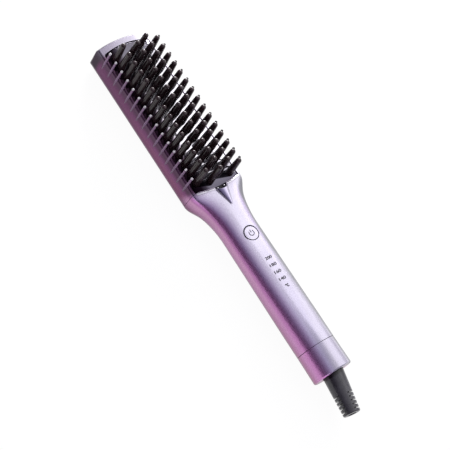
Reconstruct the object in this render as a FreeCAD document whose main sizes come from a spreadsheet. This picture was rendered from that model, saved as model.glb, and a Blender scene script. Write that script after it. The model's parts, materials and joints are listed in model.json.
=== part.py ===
# Hot straightening brush: a pearl shell, a heated plate with four columns of teeth, and a swivel cord end.
# X runs from the head to the cord end, Y across and Z up through the teeth. All sizes are in millimetres.
import FreeCAD, Part
import math
import os
from types import SimpleNamespace

import Sketcher
from FreeCAD import Placement, Rotation, Vector

doc = FreeCAD.newDocument("straightening_brush")
sheet = doc.addObject("Spreadsheet::Sheet", "Sizes")

# Driving dimensions, one cell each
sizes = {
    # Body as a whole: distances run from the head's end, levels from the surface that it lies on
    "bodyLength": 295.3,
    "headLength": 135.4,
    "neckLength": 37.5,
    "capLength": 22.7,
    "rimLevel": 25.5,
    "tailRadius": 15.5,
    "seamRadius": 15.25,
    "waistHalf": 15.0,
    "waistRise": 12.3,
    "gripHalf": 15.1,
    "gripRise": 14.4,
    "gripBack": 19.5,
    "crownFlat": 1.5,
    "flankFlat": 0.8,
    "splitLevel": 7.0,
    "shellWall": 2.0,
    "leastCorner": 0.4,
    "overrun": 5.0,
    "slipFit": 0.2,
    "closeFit": 0.1,
    "runFit": 0.06,
    # Head
    "rimHalf": 22.8,
    "rimRound": 1.4,
    "sideHalf": 23.2,
    "hipLevel": 9.5,
    "backFlatHalf": 11.0,
    "headCorner": 2.5,
    "headArch": 2.4,
    "endRoll": 2.5,
    "endRollDeep": 8.5,
    "noseRun": 9.0,
    "noseLevel": 14.0,
    "rimStrip": 8.9,
    "windowArch": 2.6,
    "sideRim": 2.1,
    "frameGap": 0.3,
    "ridgeRise": 2.7,
    "neckArch": 2.2,
    "ledgeLevel": 11.0,
    "ledgeWidth": 1.5,
    # Heated plate and its teeth
    "plateGap": 0.6,
    "plateSink": 0.5,
    "plateThick": 3.0,
    "plateCorner": 2.0,
    "rowInset": 6.7,
    "sideRowInset": 5.7,
    "rowEndInset": 3.7,
    "columnPitch": 9.65,
    "toothRoot": 2.9,
    "toothTip": 2.1,
    "innerHeight": 24.5,
    "outerHeight": 21.1,
    "pegRadius": 1.3,
    "sideToothInset": 0.27,
    "sideToothRoot": 1.15,
    "sideToothTip": 0.9,
    "sideToothFade": 0.9,
    "sideToothRise": 11.3,
    "sideToothDrop": 9.0,
    # Heater stack under the plate
    "clampInset": 4.8,
    "clampThick": 1.0,
    "clampScrewInset": 4.0,
    "clampBoss": 2.2,
    "heaterInset": 8.0,
    "heaterEdge": 7.9,
    "heaterThick": 1.5,
    "micaMargin": 0.5,
    "micaThick": 0.5,
    "clampMargin": 1.5,
    "sensorLength": 5.0,
    "sensorWidth": 3.0,
    "sensorThick": 2.0,
    "fuseRadius": 1.9,
    "fuseLength": 11.0,
    "leadRadius": 0.7,
    "leadSpread": 9.0,
    "mainsSpread": 5.2,
    "ionLeadRadius": 0.5,
    # Carrier that holds the plate in the head
    "carrierWall": 1.6,
    "carrierFloor": 1.5,
    "plateColumn": 2.4,
    "columnBite": 0.3,
    "plateScrewInset": 9.2,
    "plateScrewSeat": 3.0,
    "tongueHalf": 6.0,
    "tongueLength": 14.0,
    "tongueScrew": 10.0,
    # Screws
    "coverShank": 1.25,
    "coverHead": 2.4,
    "coverHeadThick": 1.6,
    "coverScrewLength": 12.0,
    "coverSeat": 4.0,
    "coverPost": 3.4,
    "coverBoss": 3.0,
    "pilotSpare": 1.0,
    "coverScrewInset": 15.3,
    "coverScrewSide": 10.0,
    "carrierBossRise": 5.0,
    "smallShank": 1.0,
    "smallHead": 1.8,
    "smallHeadThick": 1.3,
    "plateScrewGrip": 1.8,
    "boardScrewLength": 6.0,
    # Control board and what stands on it
    "boardInset": 18.8,
    "boardHalf": 10.5,
    "boardThick": 1.6,
    "boardPost": 2.4,
    "boardPostInset": 4.0,
    "boardPostSide": 7.0,
    "switchSide": 6.0,
    "switchRise": 2.0,
    "plungerRadius": 1.7,
    "plungerDepth": 0.8,
    "plungerRise": 1.0,
    "wellDepth": 1.5,
    "ledWidth": 2.0,
    "ledThick": 0.8,
    "guideHalf": 3.6,
    "guideWall": 1.2,
    "guideRise": 4.4,
    "ionBoxHalf": 7.5,
    "ionBoxDeep": 8.5,
    "coilDeep": 7.0,
    "capacitorHalf": 3.0,
    "capacitorDeep": 8.0,
    # Button
    "buttonRadius": 5.35,
    "buttonThick": 2.5,
    "stemRadius": 2.0,
    "ringWall": 0.5,
    "ringSink": 0.4,
    "ringFlange": 7.4,
    "ringFlangeThick": 1.0,
    "ringFlangeDrop": 3.9,
    "ringBore": 3.0,
    # Ion outlet in the neck
    "outletRun": 3.6,
    "outletHalf": 5.4,
    "outletDeep": 5.5,
    "outletSink": 1.2,
    "emitterRadius": 0.5,
    "emitterSpread": 3.0,
    "emitterProud": 0.3,
    "emitterBarLength": 2.0,
    "emitterBarHalf": 5.2,
    "emitterBarThick": 1.4,
    "hoodLength": 14.4,
    "hoodHalf": 5.6,
    "hoodRise": 3.2,
    "hoodTip": 1.0,
    # Cord end
    "capRound": 0.8,
    "seamGap": 0.4,
    "capWall": 4.6,
    "capEndWall": 3.2,
    "spigotLength": 7.5,
    "mouthRadius": 8.8,
    "collarRadius": 8.5,
    "collarProud": 0.3,
    "flangeRadius": 9.6,
    "flangeThick": 2.5,
    "spindleRadius": 5.0,
    "cordBore": 3.2,
    "chamberRadius": 7.0,
    "bearingLength": 3.5,
    "ringThick": 1.0,
    "ringLength": 3.0,
    "ringPitch": 6.0,
    "brushLength": 2.4,
    "brushHalf": 1.5,
    "brushRise": 4.0,
    "bootRoot": 8.2,
    "bootEnd": 6.5,
    "bootLength": 31.3,
    "bootRound": 1.0,
    "slotPitch": 2.95,
    "slotWidth": 1.2,
    "slotDeep": 2.2,
    "slotInset": 3.2,
}

# Counts, angles and shares
toothRows = 15
markCount = 5
slotRings = 5
bootTilt = 9.5
slotAngle = 130.0
slotTurn = -61.0
# Staggered columns start this share of a pitch further on
staggerShare = 0.42
# Places beside the heater, as shares of its length from the plate's middle
sensorPlaceShare = -0.25
fusePlaceShare = 0.125
# Pieces under the board, as shares of its length
ionBoxStartShare = 0.17
ionBoxShare = 0.386
partsGapShare = 0.034
capacitorShare = 0.148
coilShare = 0.051
# Places along the handle, as shares of its length from the waist to the seam
buttonShare = 0.0682
firstMarkShare = 0.288
markPitchShare = 0.0605
boardEndShare = 0.718
gripScrewShare = 0.78
# A lamp's length as a share of the pitch of the lamps
ledShare = 0.2
# Stations along the neck, with how far each has gone from the head's section to the handle's
neckStationShares = (0.0, 0.06, 0.15, 0.25, 0.35, 0.52, 0.68, 0.84, 1.0)
neckBlendShares = (0.0, 0.03, 0.17, 0.39, 0.58, 0.78, 0.90, 0.975, 1.0)


class Term:
    # A length that carries the text which binds it to the sheet, so that a sum keeps both

    def __init__(self, text, value):
        self.text = text
        self.value = value

    def __float__(self):
        return float(self.value)

    def combined(self, sign, other, value):
        return Term(f"({self.text} {sign} {asTerm(other).text})", value)

    def __add__(self, other):
        return self.combined("+", other, self.value + float(other))

    def __sub__(self, other):
        return self.combined("-", other, self.value - float(other))

    def __mul__(self, other):
        return self.combined("*", other, self.value * float(other))

    def __truediv__(self, other):
        return self.combined("/", other, self.value / float(other))

    def __rmul__(self, other):
        return self * other

    def __neg__(self):
        return self * -1


def asTerm(value):
    return value if isinstance(value, Term) else Term(repr(value), value)


for row, (name, value) in enumerate(sizes.items(), start=1):
    sheet.set(f"A{row}", name)
    sheet.set(f"B{row}", str(value))
    sheet.setAlias(f"B{row}", name)
doc.recompute()
at = SimpleNamespace(**{name: Term(f"Sizes.{name}", sheet.get(name)) for name in sizes})

# Places worked out from the driving dimensions
tilt = math.radians(bootTilt)
bootStart = at.bodyLength + at.collarProud
bootAlong = (at.bootLength - at.bootRound) * math.cos(tilt)
bootAside = (at.bootEnd - at.bootRound) * math.sin(tilt)
bootReach = bootAlong + bootAside + at.bootRound
headEnd = (bootStart + bootReach) / -2
axisLevel = at.tailRadius
seam = at.bodyLength - at.capLength
waist = at.headLength + at.neckLength
handleLength = seam - waist
grip = seam - at.gripBack
windowHalf = at.rimHalf - at.sideRim
plateStart = at.rimStrip + at.plateGap
plateEnd = at.headLength - at.plateGap
plateLength = plateEnd - plateStart
plateMid = (plateStart + plateEnd) / 2
plateHalf = windowHalf - at.plateGap
plateTop = at.rimLevel - at.plateSink
plateBottom = plateTop - at.plateThick
windowCorner = at.plateCorner + at.plateGap
ridgeLevel = at.rimLevel + at.ridgeRise
neckFront = at.headLength + at.neckArch
toothPitch = (plateLength - at.rowInset - at.rowEndInset) / (toothRows - 1 + staggerShare)
firstRow = plateStart + at.rowInset
firstSideRow = plateStart + at.sideRowInset
clampLength = plateLength - 2 * at.clampInset
clampSpan = clampLength / 2 - at.clampScrewInset
heaterLength = clampLength - 2 * at.heaterInset
heaterWidth = 2 * (plateHalf - at.heaterEdge)
clampWidth = heaterWidth + 2 * at.clampMargin
heaterBottom = plateBottom - at.heaterThick
micaBottom = heaterBottom - at.micaThick
clampBottom = micaBottom - at.clampThick
leadLevel = plateBottom - at.heaterThick / 2
carrierHalf = windowHalf - at.slipFit
carrierStart = at.rimStrip + at.slipFit
carrierEnd = at.headLength - at.slipFit
floorTop = at.ledgeLevel + at.carrierFloor
plateScrewSpan = plateLength / 2 - at.plateScrewInset
plateScrewSide = carrierHalf - at.carrierWall - at.plateColumn + at.columnBite
coverSpan = plateLength / 2 - at.coverScrewInset
tongueScrewPlace = at.headLength + at.tongueScrew
boardStart = at.headLength + at.boardInset
boardEnd = waist + handleLength * boardEndShare
boardTop = leadLevel - at.leadRadius
boardBottom = boardTop - at.boardThick
buttonPlace = waist + handleLength * buttonShare
buttonLevel = axisLevel + at.waistRise
stemEnd = boardTop + at.switchRise + at.plungerRise + at.runFit
boardLength = boardEnd - boardStart
ionBoxPlace = boardStart + boardLength * ionBoxStartShare
ionBoxLength = boardLength * ionBoxShare
partsGap = boardLength * partsGapShare
capacitorLength = boardLength * capacitorShare
coilRadius = boardLength * coilShare
firstMark = buttonPlace + handleLength * firstMarkShare
markPitch = handleLength * markPitchShare
emitterPlace = neckFront + at.outletRun / 3
holeRadius = at.buttonRadius + at.closeFit + at.ringWall + at.closeFit
nodes = []


def bind(item, prop, value):
    item.setExpression(prop, asTerm(value).text)


def place(item, x, y, z, turn=None):
    spot = Vector(float(headEnd + x), float(y), float(z))
    item.Placement = Placement(spot, turn or Rotation())
    bind(item, "Placement.Base.x", headEnd + x)
    bind(item, "Placement.Base.y", y)
    bind(item, "Placement.Base.z", z)


def block(label, start, middle, level, length, width, height):
    item = doc.addObject("Part::Box", label)
    bind(item, "Length", length)
    bind(item, "Width", width)
    bind(item, "Height", height)
    place(item, start, asTerm(middle) - width / 2, level)
    return item


def rod(label, x, y, z, radius, length, along="Z"):
    item = doc.addObject("Part::Cylinder", label)
    bind(item, "Radius", radius)
    bind(item, "Height", length)
    place(item, x, y, z, Rotation(Vector(0, 1, 0), 90) if along == "X" else None)
    return item


def joined(label, items):
    item = doc.addObject("Part::MultiFuse", label)
    item.Shapes = items
    return item


def common(label, items):
    item = doc.addObject("Part::MultiCommon", label)
    item.Shapes = items
    return item


def less(label, base, tools):
    item = doc.addObject("Part::Cut", label)
    item.Base = base
    item.Tool = tools[0] if len(tools) == 1 else joined(label + "_cuts", tools)
    return item


def grouped(label, items):
    item = doc.addObject("Part::Compound", label)
    item.Links = items
    return item


def formed(label, shape):
    item = doc.addObject("Part::Feature", label)
    item.Shape = shape
    item.Placement = Placement(Vector(float(headEnd), 0, 0), Rotation()).multiply(shape.Placement)
    return item


def keep(item):
    nodes.append(item)
    return item


def moved(shape, x, y, z):
    copy = shape.copy()
    copy.translate(Vector(float(x), float(y), float(z)))
    return copy


# A turned piece: its half outline, as (along, radius) corners, spun about X through the handle's axis
def turned(label, corners):
    body = doc.addObject("PartDesign::Body", label)
    sketch = body.newObject("Sketcher::SketchObject", label + "_outline")
    plane = next(item for item in body.Origin.OriginFeatures if item.Role == "XZ_Plane")
    sketch.AttachmentSupport = [(plane, "")]
    sketch.MapMode = "FlatFace"
    count = len(corners)
    spots = [Vector(float(along), float(radius), 0) for along, radius in corners]
    for index in range(count):
        sketch.addGeometry(Part.LineSegment(spots[index], spots[(index + 1) % count]))
    for index in range(count):
        sketch.addConstraint(Sketcher.Constraint("Coincident", index, 2, (index + 1) % count, 1))
    for index, (along, radius) in enumerate(corners):
        for kind, value in (("DistanceX", along), ("DistanceY", radius)):
            held = sketch.addConstraint(Sketcher.Constraint(kind, -1, 1, index, 1, float(value)))
            bind(sketch, f"Constraints[{held}]", value)
    spin = body.newObject("PartDesign::Revolution", label + "_spin")
    spin.Profile = sketch
    spin.ReferenceAxis = (sketch, ["H_Axis"])
    spin.Angle = 360
    place(body, Term("0", 0), Term("0", 0), axisLevel)
    return body


# A screw standing on its seat: its head below, its shank upwards, or the other way round
def screw(label, x, y, seat, shank, head, headThick, length, up=True):
    headBase = seat - headThick if up else seat
    shankBase = seat if up else seat - length
    parts = [rod(label + "_head", x, y, headBase, head, headThick)]
    parts.append(rod(label + "_shank", x, y, shankBase, shank, length))
    return joined(label, parts)


# Sections of the shell: flat crown, quarter ellipse, flank, quarter ellipse and flat back
def quarter(start, corner, end):
    curve = Part.BezierCurve()
    curve.setPoles([start, corner, end])
    curve.setWeight(2, math.sqrt(0.5))
    return curve.toShape()


def sectionWire(x, form):
    crown, top, shoulder, shoulderLevel, hip, hipLevel, flat, bottom = form
    right = [(crown, top), (shoulder, top), (shoulder, shoulderLevel)]
    right += [(hip, hipLevel), (hip, bottom), (flat, bottom)]
    a, ab, b, c, cd, d = [Vector(x, y, z) for y, z in right]
    e, ef, f, g, gh, k = [Vector(x, -y, z) for y, z in reversed(right)]
    edges = [quarter(a, ab, b), Part.LineSegment(b, c).toShape(), quarter(c, cd, d)]
    edges.append(Part.LineSegment(d, e).toShape())
    edges += [quarter(e, ef, f), Part.LineSegment(f, g).toShape(), quarter(g, gh, k)]
    edges.append(Part.LineSegment(k, a).toShape())
    return Part.Wire(edges)


# The same section a wall's thickness further in
def inset(form, wall):
    crown, top, shoulder, shoulderLevel, hip, hipLevel, flat, bottom = form
    least = float(at.leastCorner)
    topRun = max(shoulder - crown - wall, least)
    topDrop = max(top - shoulderLevel - wall, least)
    hipRun = max(hip - flat - wall, least)
    hipDrop = max(hipLevel - bottom - wall, least)
    return (shoulder - wall - topRun, top - wall, shoulder - wall, top - wall - topDrop,
            hip - wall, bottom + wall + hipDrop, hip - wall - hipRun, bottom + wall)


def blended(first, second, share):
    return tuple(a + (b - a) * share for a, b in zip(first, second))


def handleForm(half, rise, flat, flank):
    level = float(axisLevel)
    half, rise, flat, flank = float(half), float(rise), float(flat), float(flank)
    return (flat, level + rise, half, level + flank, half, level - flank, flat, level - rise)


headForm = tuple(float(value) for value in (
    at.rimHalf - at.rimRound, at.rimLevel, at.rimHalf, at.rimLevel - at.rimRound,
    at.sideHalf, at.hipLevel, at.backFlatHalf, Term("0", 0)))
# The neck starts with a ridge that stands above the rim
neckForm = (float(at.crownFlat), float(ridgeLevel)) + headForm[2:]
waistForm = handleForm(at.waistHalf, at.waistRise, at.crownFlat, at.flankFlat)
gripForm = handleForm(at.gripHalf, at.gripRise, at.crownFlat, at.flankFlat)
seamForm = handleForm(at.seamRadius, at.seamRadius, at.closeFit, at.closeFit)


# How far the neck has gone from the head's section to the handle's at a share of its length
def neckBlend(share):
    steps = list(zip(neckStationShares, neckBlendShares))
    for (low, first), (high, second) in zip(steps, steps[1:]):
        if share <= high:
            return first + (second - first) * (share - low) / (high - low)
    return 1.0


# Skin of the neck and handle, a wall's thickness in: a flowing neck, then two straight lengths
def handleSkin(wall, start, end):
    span = float(at.neckLength)
    first = (start - float(at.headLength)) / span
    apart = neckStationShares[1] if wall else 0
    shares = [first] + [share for share in neckStationShares if share > first + apart]

    def ring(x, form):
        return sectionWire(x, inset(form, wall) if wall else form)

    neck = [ring(float(at.headLength) + span * share, blended(neckForm, waistForm, neckBlend(share)))
            for share in shares]
    gripRing = ring(float(grip), gripForm)
    front = Part.makeLoft([neck[-1], gripRing], True, True)
    rear = Part.makeLoft([gripRing, ring(end, seamForm)], True, True)
    return Part.makeLoft(neck, True, False).fuse([front, rear])


def headBlock(form, start, end):
    return Part.Face(sectionWire(start, form)).extrude(Vector(end - start, 0, 0))


# Plan with straight sides, rounded corners and an arc across each end
def archedPlan(start, end, half, corner, startArch, endArch):
    start, end, half, corner = float(start), float(end), float(half), float(corner)
    turn = corner * (1 - math.sqrt(0.5))

    def corners(x, way, arch):
        return [Vector(x + way * corner, half, 0), Vector(x + way * turn, half - turn, 0),
                Vector(x, half - corner, 0), Vector(x - way * float(arch), 0, 0)]

    def across(spot):
        return Vector(spot.x, -spot.y, 0)

    a, b, c, middle = corners(start, 1, startArch)
    e, f, g, endMiddle = corners(end, -1, endArch)
    edges = [Part.LineSegment(e, a), Part.Arc(a, b, c), Part.Arc(c, middle, across(c)),
             Part.Arc(across(c), across(b), across(a)), Part.LineSegment(across(a), across(e)),
             Part.Arc(across(e), across(f), across(g)), Part.Arc(across(g), endMiddle, g), Part.Arc(g, f, e)]
    return Part.Face(Part.Wire([edge.toShape() for edge in edges]))


# An arched plan raised from a level
def archedSlab(label, plan, level, height):
    plan.translate(Vector(0, 0, float(level)))
    return formed(label, plan.extrude(Vector(0, 0, float(height))))


# Plan of the head, under a disc whose upper edge rolls the arched end over to the rim
def headPlan():
    height = float(at.rimLevel + at.overrun)
    plan = archedPlan(at.headArch, at.headLength + 2 * at.overrun, at.sideHalf, at.headCorner, at.headArch,
                      at.headArch)
    chord = float(at.sideHalf - at.headCorner)
    arch = float(at.headArch)
    radius = (chord ** 2 + arch ** 2) / (2 * arch)
    low = float(at.rimLevel - at.endRollDeep)
    top = float(at.rimLevel + at.closeFit)
    edge = radius + float(at.slipFit)
    far = radius + float(at.overrun)
    rollStart = Vector(edge, 0, low)
    rollEnd = Vector(radius - float(at.endRoll), 0, top)
    base = -float(at.overrun)
    corners = [rollEnd, Vector(0, 0, top), Vector(0, 0, base), Vector(far, 0, base), Vector(far, 0, low), rollStart]
    edges = [Part.LineSegment(a, b).toShape() for a, b in zip(corners, corners[1:])]
    edges.append(quarter(rollStart, Vector(edge, 0, top), rollEnd))
    disc = Part.Face(Part.Wire(edges)).revolve(Vector(0, 0, 0), Vector(0, 0, 1), 360)
    disc.translate(Vector(radius, 0, 0))
    return plan.extrude(Vector(0, 0, height)).common(disc)


# Side view of the head: its back rounds up to its end
def headSide():
    far = float(at.sideHalf + at.overrun)
    end = float(at.headLength)
    top = float(at.rimLevel)
    nose = float(at.noseRun)
    level = float(at.noseLevel)
    corners = [Vector(nose, -far, 0), Vector(end, -far, 0), Vector(end, -far, top)]
    corners += [Vector(0, -far, top), Vector(0, -far, level)]
    edges = [Part.LineSegment(a, b).toShape() for a, b in zip(corners, corners[1:])]
    edges.append(quarter(corners[-1], Vector(0, -far, 0), corners[0]))
    return Part.Face(Part.Wire(edges)).extrude(Vector(0, 2 * far, 0))


headBar = headBlock(headForm, 0.0, float(at.headLength))
headSkin = formed("head_skin", headBar.common(headPlan()).common(headSide()))
wall = float(at.shellWall)
headHollowEnd = float(at.headLength + at.shellWall)
bulkhead = float(neckFront + at.shellWall)
handleOuter = formed("handle_skin", handleSkin(0.0, float(at.headLength), float(seam)))
handleInner = formed("handle_hollow", handleSkin(wall, bulkhead, float(seam + at.overrun)))
hollowStart = float(at.noseRun - at.shellWall)
headHollow = formed("head_hollow", headBlock(inset(headForm, wall), hollowStart, headHollowEnd))

fullLength = at.bodyLength + at.overrun
fullWidth = 2 * (at.sideHalf + at.overrun)
tall = at.rimLevel + at.tailRadius


# Room in front of the neck, with an arched edge that follows the plate's end
frontLevel = plateBottom - at.plateGap
frontPlan = archedPlan(at.headLength - 2 * at.overrun, at.headLength, windowHalf, windowCorner, at.neckArch,
                       at.neckArch)
frontRoom = archedSlab("neck_front_room", frontPlan, frontLevel, tall)


def halfSpace(label, above):
    level = at.splitLevel if above else -at.overrun
    height = tall if above else at.splitLevel + at.overrun
    return block(label, -at.overrun, 0, level, fullLength + at.overrun, fullWidth, height)


# Places of the screws that hold the back on
coverSpots = [(plateMid + side * coverSpan, at.coverScrewSide * across)
              for side in (-1, 1) for across in (-1, 1)]
tongueSpot = (tongueScrewPlace, Term("0", 0))
gripSpot = (waist + handleLength * gripScrewShare, Term("0", 0))
boardSpots = [(boardStart + at.boardPostInset, at.boardPostSide * across) for across in (-1, 1)]
boardSpots += [(boardEnd - at.boardPostInset, at.boardPostSide * across) for across in (-1, 1)]


# Head frame: the walls round the plate, with a ledge that the carrier sits on
def headFrame():
    half = block("frame_half", -at.overrun, 0, at.splitLevel, at.headLength - at.frameGap + at.overrun,
                 fullWidth, tall)
    upper = common("frame_upper", [headSkin, half])
    room = block("frame_room", at.rimStrip, 0, at.ledgeLevel, at.headLength, 2 * windowHalf,
                 plateBottom - at.ledgeLevel)
    plan = archedPlan(at.rimStrip, at.headLength + at.overrun, windowHalf, windowCorner, at.windowArch,
                      at.windowArch)
    window = archedSlab("frame_window", plan, frontLevel, tall)
    below = block("frame_below", at.rimStrip + at.ledgeWidth, 0, -at.overrun, at.headLength,
                  2 * (windowHalf - at.ledgeWidth), tall)
    keep(less("head_frame", upper, [room, window, below]))


# Handle shell: neck and handle above the parting line, with the button's hole and the ion outlet
def handleShell():
    upper = common("shell_upper", [handleOuter, halfSpace("shell_half", True)])
    bosses = []
    for index, (spot, base) in enumerate(((tongueSpot, floorTop), (gripSpot, at.splitLevel))):
        post = rod(f"shell_post_{index}", spot[0], spot[1], base, at.coverBoss, tall)
        bosses.append(common(f"shell_boss_{index}", [post, handleOuter]))
    hollow = less("shell_hollow", upper, [handleInner])
    solid = joined("shell_solid", [hollow, hood()] + bosses)
    holes = [rod("button_hole", buttonPlace, 0, boardTop, holeRadius, tall)]
    pilot = at.coverShank + at.runFit
    for index, (x, y) in enumerate((tongueSpot, gripSpot)):
        depth = at.coverScrewLength + at.pilotSpare
        holes.append(rod(f"shell_pilot_{index}", x, y, at.coverSeat, pilot, depth))
    passage = block("neck_passage", at.headLength - at.overrun, 0, at.splitLevel - at.overrun,
                    at.overrun + at.neckArch + 2 * at.shellWall, 2 * (at.leadSpread + at.tongueHalf / 2),
                    plateBottom - at.splitLevel + at.overrun)
    holes += [passage, ovalHole(), frontRoom]
    keep(less("handle_shell", solid, holes))


def ovalHole():
    return oval("outlet_hole", at.closeFit, plateBottom - at.outletDeep, tall)


def oval(label, grow, level, height):
    item = doc.addObject("Part::Ellipse", label + "_edge")
    bind(item, "MajorRadius", at.outletHalf + grow)
    bind(item, "MinorRadius", at.outletRun + grow)
    place(item, neckFront, 0, level, Rotation(Vector(0, 0, 1), 90))
    solid = doc.addObject("Part::Extrusion", label)
    solid.Base = item
    solid.DirMode = "Custom"
    solid.Dir = Vector(0, 0, 1)
    bind(solid, "LengthFwd", height)
    solid.Solid = True
    return solid


# Hood behind the outlet: an elliptic cone, half sunk in the neck, that narrows along it
def hood():
    ends = []
    level = float(ridgeLevel)
    first = neckFront + at.outletRun / 2
    for x, half, rise in ((first, at.hoodHalf, at.hoodRise), (first + at.hoodLength, at.hoodTip, at.hoodTip / 2)):
        edge = Part.Ellipse(Vector(0, 0, 0), float(half), float(rise)).toShape()
        turn = Rotation(Vector(0, 1, 0), Vector(0, 0, 1), Vector(1, 0, 0), "XYZ")
        share = (float(x) - float(at.headLength)) / float(at.neckLength)
        height = level + (float(buttonLevel) - level) * share
        edge.Placement = Placement(Vector(float(x), 0, height), turn)
        ends.append(Part.Wire([edge]))
    return formed("outlet_hood", Part.makeLoft(ends, True, True))


# Back cover: one shell under the head and the handle, with posts for the screws and the board
def backCover():
    skins = joined("cover_skins", [headSkin, handleOuter])
    hollows = joined("cover_hollows", [headHollow, handleInner])
    lower = common("cover_lower", [skins, halfSpace("cover_half", False)])
    tray = less("cover_tray", lower, [hollows])
    posts = []
    ends = [(spot, at.ledgeLevel) for spot in coverSpots + [tongueSpot]] + [(gripSpot, at.splitLevel)]
    for index, ((x, y), top) in enumerate(ends):
        posts.append(rod(f"cover_post_{index}", x, y, 0, at.coverPost, top))
    for index, (x, y) in enumerate(boardSpots):
        posts.append(rod(f"board_post_{index}", x, y, 0, at.boardPost, boardBottom))
    inside = common("cover_posts", [joined("cover_post_group", posts), skins])
    solid = joined("cover_solid", [tray, inside])
    holes = []
    for index, ((x, y), top) in enumerate(ends):
        holes.append(rod(f"cover_bore_{index}", x, y, 0, at.coverShank + at.closeFit, top))
        holes.append(rod(f"cover_sink_{index}", x, y, -at.overrun, at.coverHead + at.slipFit,
                         at.coverSeat + at.overrun))
    for index, (x, y) in enumerate(boardSpots):
        holes.append(rod(f"board_pilot_{index}", x, y, boardBottom - at.boardScrewLength,
                         at.smallShank + at.runFit, at.boardScrewLength))
    keep(less("back_cover", solid, holes))
    screws = [screw(f"cover_screw_{index}", x, y, at.coverSeat, at.coverShank, at.coverHead,
                    at.coverHeadThick, at.coverScrewLength) for index, ((x, y), top) in enumerate(ends)]
    keep(grouped("cover_screws", screws))


# Carrier: a heat-proof tray in the frame, with a tongue that the neck's screw clamps
def plateCarrier():
    depth = plateBottom - at.ledgeLevel
    length = carrierEnd - carrierStart
    outer = block("carrier_outer", carrierStart, 0, at.ledgeLevel, length, 2 * carrierHalf, depth)
    inner = block("carrier_inner", carrierStart + at.carrierWall, 0, floorTop, length - 2 * at.carrierWall,
                  2 * (carrierHalf - at.carrierWall), depth)
    tray = less("carrier_tray", outer, [inner])
    tongue = block("carrier_tongue", carrierEnd - at.carrierWall, 0, at.ledgeLevel,
                   at.tongueLength + at.carrierWall, 2 * at.tongueHalf, at.carrierFloor)
    adds = [tray, tongue]
    spots = [(plateMid + side * plateScrewSpan, plateScrewSide * across)
             for side in (-1, 1) for across in (-1, 1)]
    for index, (x, y) in enumerate(spots):
        adds.append(rod(f"plate_column_{index}", x, y, at.ledgeLevel, at.plateColumn, depth))
    for index, (x, y) in enumerate(coverSpots):
        adds.append(rod(f"carrier_boss_{index}", x, y, at.ledgeLevel, at.coverBoss,
                        at.carrierFloor + at.carrierBossRise))
    holes = []
    for index, (x, y) in enumerate(spots):
        holes.append(rod(f"column_bore_{index}", x, y, at.ledgeLevel, at.smallShank + at.closeFit, depth))
        holes.append(rod(f"column_sink_{index}", x, y, at.ledgeLevel - at.overrun,
                         at.smallHead + at.closeFit, at.plateScrewSeat + at.overrun))
    for index, (x, y) in enumerate(coverSpots):
        holes.append(rod(f"boss_pilot_{index}", x, y, at.coverSeat, at.coverShank + at.runFit,
                         at.coverScrewLength + at.runFit))
    holes.append(rod("tongue_hole", tongueSpot[0], 0, at.coverSeat, at.coverShank + at.closeFit,
                     at.coverScrewLength))
    for side in (-1, 1):
        holes.append(rod("lead_hole", carrierEnd - at.overrun, side * at.leadSpread, leadLevel,
                         at.leadRadius + at.closeFit, 2 * at.overrun, "X"))
    keep(less("plate_carrier", joined("carrier_solid", adds), holes))
    length = depth - at.plateScrewSeat + at.plateScrewGrip
    seat = at.ledgeLevel + at.plateScrewSeat
    screws = [screw(f"plate_screw_{index}", x, y, seat, at.smallShank, at.smallHead, at.smallHeadThick,
                    length) for index, (x, y) in enumerate(spots)]
    keep(grouped("plate_screws", screws))
    return spots


# Rows of the four tooth columns: across place, first row and height above the plate
toothColumns = {
    "teeth_outer_left": (at.columnPitch * -1.5, firstRow, at.outerHeight),
    "teeth_inner_left": (at.columnPitch * -0.5, firstRow + toothPitch * staggerShare, at.innerHeight),
    "teeth_inner_right": (at.columnPitch * 0.5, firstRow, at.innerHeight),
    "teeth_outer_right": (at.columnPitch * 1.5, firstRow + toothPitch * staggerShare, at.outerHeight),
}


# Half outline of a tapered pin with a round tip, spun about its upright axis
def taperedPin(root, tip, height, below):
    slope = (root - tip) / (height - tip)
    angle = math.atan(slope)
    ball = tip / math.cos(angle)
    centre = height - ball
    spots = [Vector(0, 0, height), Vector(ball * math.cos(angle), 0, centre + ball * math.sin(angle))]
    middle = (angle + math.pi / 2) / 2
    mid = Vector(ball * math.cos(middle), 0, centre + ball * math.sin(middle))
    outline = spots + [Vector(root, 0, 0)] + below
    edges = [Part.Arc(spots[0], mid, spots[1]).toShape()]
    edges += [Part.LineSegment(a, b).toShape() for a, b in zip(outline[1:], outline[2:] + outline[:1])]
    return Part.Face(Part.Wire(edges)).revolve(Vector(0, 0, 0), Vector(0, 0, 1), 360)


# A tooth on a peg that fills its hole in the plate
def toothShape(height):
    peg = float(at.pegRadius)
    deep = -float(at.plateThick)
    below = [Vector(peg, 0, 0), Vector(peg, 0, deep), Vector(0, 0, deep)]
    return taperedPin(float(at.toothRoot), float(at.toothTip), height, below)


def teeth():
    for label, (across, start, rise) in toothColumns.items():
        tooth = toothShape(float(rise))
        rows = [moved(tooth, start + toothPitch * row, across, plateTop) for row in range(toothRows)]
        keep(formed(label, Part.makeCompound(rows)))


# A side tooth: a rib that fades down the wall and a pin above the rim
def sideTeeth():
    drop = -float(at.sideToothDrop)
    below = [Vector(float(at.sideToothFade), 0, drop), Vector(0, 0, drop)]
    whole = taperedPin(float(at.sideToothRoot), float(at.sideToothTip), float(at.sideToothRise), below)
    for label, side in (("side_teeth_left", -1), ("side_teeth_right", 1)):
        across = side * (at.rimHalf - at.sideToothInset)
        tooth = moved(whole, firstSideRow, across, at.rimLevel)
        tooth = tooth.cut(headBar)
        rows = [moved(tooth, toothPitch * row, 0, 0) for row in range(toothRows)]
        keep(formed(label, Part.makeCompound(rows)))


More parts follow.
